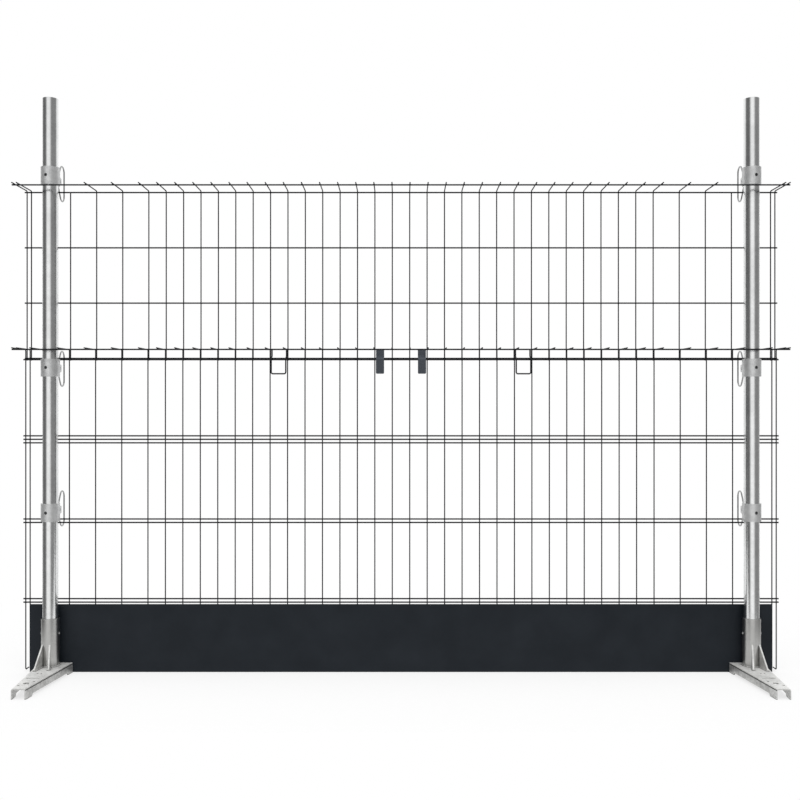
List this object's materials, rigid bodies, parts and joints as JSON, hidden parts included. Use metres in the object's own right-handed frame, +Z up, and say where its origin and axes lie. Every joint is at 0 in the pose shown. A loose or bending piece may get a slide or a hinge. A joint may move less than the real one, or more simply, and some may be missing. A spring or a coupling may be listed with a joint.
{
  "type": "edge protection barrier",
  "caption": "Site edge barrier: posts in socketed feet carry a welded mesh panel with toe board and a hooked-on upper mesh panel, held at collars with sprung wire clips.",
  "frame": {"origin": "middle of the barrier's footprint, on the floor that its feet and toe board stand on", "axes": "+X along the barrier, +Y from the front, where the feet's long ends are, to the back, +Z up"},
  "size_m": [2.592, 0.406, 1.958],
  "materials": {
    "galvanised_steel": "hot-dip galvanised steel, satin grey, slightly mottled",
    "zinc_fasteners": "zinc-plated steel, satin",
    "black_screws": "black-oxide set screws, oiled",
    "spring_wire": "drawn spring-steel wire, zinc-plated",
    "coated_mesh": "anthracite powder coat on welded steel wire, semi-matt",
    "toe_board_paint": "near-black powder coat on folded sheet steel, smooth satin",
    "tab_paint": "dark blue-grey powder coat on flat bar"
  },
  "bodies": {
    "barrier": {"foot_plate_left": "galvanised_steel", "post_socket_left": "galvanised_steel", "gusset_outer_left": "galvanised_steel", "gusset_inner_left": "galvanised_steel", "post_tube_left": "galvanised_steel", "snap_spring_left": "spring_wire", "clamp_rivets_left": "zinc_fasteners", "clip_pivots_left": "zinc_fasteners", "collar_screws_left": "black_screws", "collar_low_left": "galvanised_steel", "collar_middle_left": "galvanised_steel", "collar_top_left": "galvanised_steel", "foot_plate_right": "galvanised_steel", "post_socket_right": "galvanised_steel", "gusset_outer_right": "galvanised_steel", "gusset_inner_right": "galvanised_steel", "post_tube_right": "galvanised_steel", "snap_spring_right": "spring_wire", "clamp_rivets_right": "zinc_fasteners", "clip_pivots_right": "zinc_fasteners", "collar_screws_right": "black_screws", "collar_low_right": "galvanised_steel", "collar_middle_right": "galvanised_steel", "collar_top_right": "galvanised_steel", "lower_wires": "coated_mesh", "lower_top_rail": "coated_mesh", "lower_front_rail": "coated_mesh", "lower_triple_rails": "coated_mesh", "lower_middle_rails": "coated_mesh", "lower_bottom_rails": "coated_mesh", "upper_wires": "coated_mesh", "upper_short_wires_left": "coated_mesh", "upper_short_wires_right": "coated_mesh", "upper_top_rail": "coated_mesh", "upper_front_rail": "coated_mesh", "upper_middle_rails": "coated_mesh", "upper_bottom_rail": "coated_mesh", "hook_loop_left": "coated_mesh", "hook_loop_right": "coated_mesh", "toe_board": "toe_board_paint", "hook_tab_left": "tab_paint", "hook_tab_right": "tab_paint"},
    "wire_clip_low_left": {"wire_clip_low_left": "spring_wire"},
    "wire_clip_middle_left": {"wire_clip_middle_left": "spring_wire"},
    "wire_clip_top_left": {"wire_clip_top_left": "spring_wire"},
    "snap_button_outer_left": {"snap_button_outer_left": "zinc_fasteners"},
    "snap_button_inner_left": {"snap_button_inner_left": "zinc_fasteners"},
    "wire_clip_low_right": {"wire_clip_low_right": "spring_wire"},
    "wire_clip_middle_right": {"wire_clip_middle_right": "spring_wire"},
    "wire_clip_top_right": {"wire_clip_top_right": "spring_wire"},
    "snap_button_outer_right": {"snap_button_outer_right": "zinc_fasteners"},
    "snap_button_inner_right": {"snap_button_inner_right": "zinc_fasteners"}
  },
  "joints": [
    {"name": "clip_swing_low_left", "type": "hinge", "parent": "barrier", "child": "wire_clip_low_left", "pos_m": [-1.1915, 0.1381, 0.554], "axis": [1, 0, 0], "range_deg": [0, 55], "stiffness_Nm_per_rad": 0.9, "springref_deg": -5.73},
    {"name": "clip_swing_middle_left", "type": "hinge", "parent": "barrier", "child": "wire_clip_middle_left", "pos_m": [-1.1915, 0.1381, 1.0445], "axis": [-1, 0, 0], "range_deg": [0, 55], "stiffness_Nm_per_rad": 0.9, "springref_deg": -5.73},
    {"name": "clip_swing_top_left", "type": "hinge", "parent": "barrier", "child": "wire_clip_top_left", "pos_m": [-1.1915, 0.1381, 1.694], "axis": [1, 0, 0], "range_deg": [0, 55], "stiffness_Nm_per_rad": 0.9, "springref_deg": -5.73},
    {"name": "button_press_outer_left", "type": "slide", "parent": "barrier", "child": "snap_button_outer_left", "axis": [1, 0, 0], "range_m": [0, 0.0085], "stiffness_N_per_m": 1500, "springref_m": -0.003, "deforming": ["snap_spring_left"]},
    {"name": "button_press_inner_left", "type": "slide", "parent": "barrier", "child": "snap_button_inner_left", "axis": [-1, 0, 0], "range_m": [0, 0.0085], "stiffness_N_per_m": 1500, "springref_m": -0.003, "deforming": ["snap_spring_left"]},
    {"name": "clip_swing_low_right", "type": "hinge", "parent": "barrier", "child": "wire_clip_low_right", "pos_m": [1.1915, 0.1381, 0.554], "axis": [1, 0, 0], "range_deg": [0, 55], "stiffness_Nm_per_rad": 0.9, "springref_deg": -5.73},
    {"name": "clip_swing_middle_right", "type": "hinge", "parent": "barrier", "child": "wire_clip_middle_right", "pos_m": [1.1915, 0.1381, 1.0445], "axis": [-1, 0, 0], "range_deg": [0, 55], "stiffness_Nm_per_rad": 0.9, "springref_deg": -5.73},
    {"name": "clip_swing_top_right", "type": "hinge", "parent": "barrier", "child": "wire_clip_top_right", "pos_m": [1.1915, 0.1381, 1.694], "axis": [1, 0, 0], "range_deg": [0, 55], "stiffness_Nm_per_rad": 0.9, "springref_deg": -5.73},
    {"name": "button_press_outer_right", "type": "slide", "parent": "barrier", "child": "snap_button_outer_right", "axis": [-1, 0, 0], "range_m": [0, 0.0085], "stiffness_N_per_m": 1500, "springref_m": -0.003, "deforming": ["snap_spring_right"]},
    {"name": "button_press_inner_right", "type": "slide", "parent": "barrier", "child": "snap_button_inner_right", "axis": [1, 0, 0], "range_m": [0, 0.0085], "stiffness_N_per_m": 1500, "springref_m": -0.003, "deforming": ["snap_spring_right"]}
  ]
}
